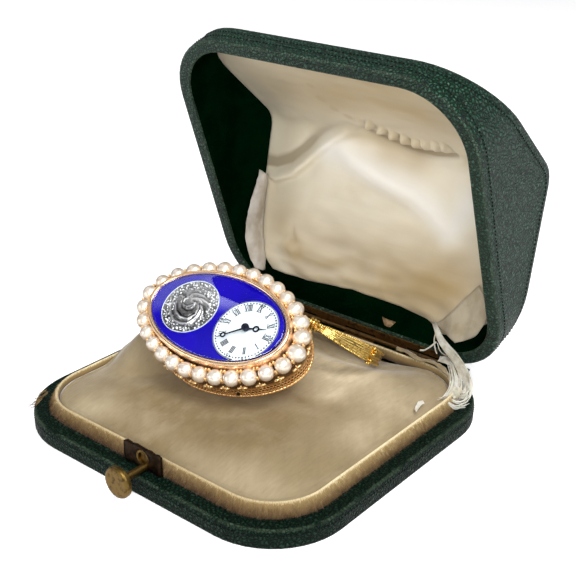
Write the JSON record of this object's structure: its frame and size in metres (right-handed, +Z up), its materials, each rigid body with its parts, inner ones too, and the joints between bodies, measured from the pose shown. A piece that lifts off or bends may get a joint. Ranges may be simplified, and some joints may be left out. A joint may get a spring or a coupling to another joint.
{
  "type": "ring watch in a ring box",
  "caption": "Pearl-bordered navette ring watch with a blue enamel face, a small dial and a stone-set roundel, propped in an open leather ring box.",
  "frame": {"origin": "middle of the flat underside of the box's base", "axes": "+X along the hinge to the wearer's right, +Y from the catch to the hinge, +Z up"},
  "size_m": [0.06, 0.0716, 0.0598],
  "materials": {
    "leather": "dark green grained leather, rubbed at the edges",
    "velvet": "worn tan velvet",
    "pad_cloth": "stained cream silk velvet",
    "satin": "cream satin",
    "bronze": "dark tarnished bronze",
    "brass": "dull brass",
    "rose_gold": "bright rose gold, chased",
    "yellow_gold": "bright yellow gold, milled",
    "silver": "old silver",
    "stones": "rose-cut stones in silver",
    "blued_steel": "blued steel",
    "crystal_glass": "clear polished glass",
    "blue_enamel": "glossy royal blue enamel",
    "white_enamel": "glossy white enamel with black figures",
    "pearl": "soft pearl lustre"
  },
  "bodies": {
    "root": {"box_base": "leather", "collar": "velvet", "pad": "pad_cloth", "catch_plate": "bronze", "catch_eye": "brass", "button": "brass", "hinge_base": "brass", "watch_case": "rose_gold", "bezel": "rose_gold", "crystal": "crystal_glass", "enamel_panel": "blue_enamel", "dial": "white_enamel", "roundel": "silver", "roundel_stones": "stones", "roundel_rose": "silver", "shank": "yellow_gold", "pearl_01": "pearl", "pearl_02": "pearl", "pearl_03": "pearl", "pearl_04": "pearl", "pearl_05": "pearl", "pearl_06": "pearl", "pearl_07": "pearl", "pearl_08": "pearl", "pearl_09": "pearl", "pearl_10": "pearl", "pearl_11": "pearl", "pearl_12": "pearl", "pearl_13": "pearl", "pearl_14": "pearl", "pearl_15": "pearl", "pearl_16": "pearl", "pearl_17": "pearl", "pearl_18": "pearl", "pearl_19": "pearl", "pearl_20": "pearl", "pearl_21": "pearl", "pearl_22": "pearl", "pearl_23": "pearl", "pearl_24": "pearl", "pearl_25": "pearl", "pearl_26": "pearl", "pearl_27": "pearl", "pearl_28": "pearl"},
    "lid": {"lid_shell": "leather", "lid_lining": "satin", "hinge_lid": "brass"},
    "minute": {"minute_hand": "blued_steel", "hub": "blued_steel"},
    "hour": {"hour_hand": "blued_steel"}
  },
  "joints": [
    {"name": "lid_hinge", "type": "hinge", "parent": "root", "child": "lid", "pos_m": [0, 0.0296, 0.0036], "axis": [-1, 0, 0], "range_deg": [-52, 24]},
    {"name": "minute_turn", "type": "hinge", "parent": "root", "child": "minute", "pos_m": [0.00166, -0.00436, 0.01804], "axis": [-0.044, 0.548, -0.8353], "continuous": true},
    {"name": "hour_turn", "type": "hinge", "parent": "root", "child": "hour", "pos_m": [0.00166, -0.00436, 0.01804], "axis": [-0.044, 0.548, -0.8353], "continuous": true}
  ],
  "couplings": [
    {"joint": "hour_turn", "follows": "minute_turn", "ratio": 0.083333}
  ]
}
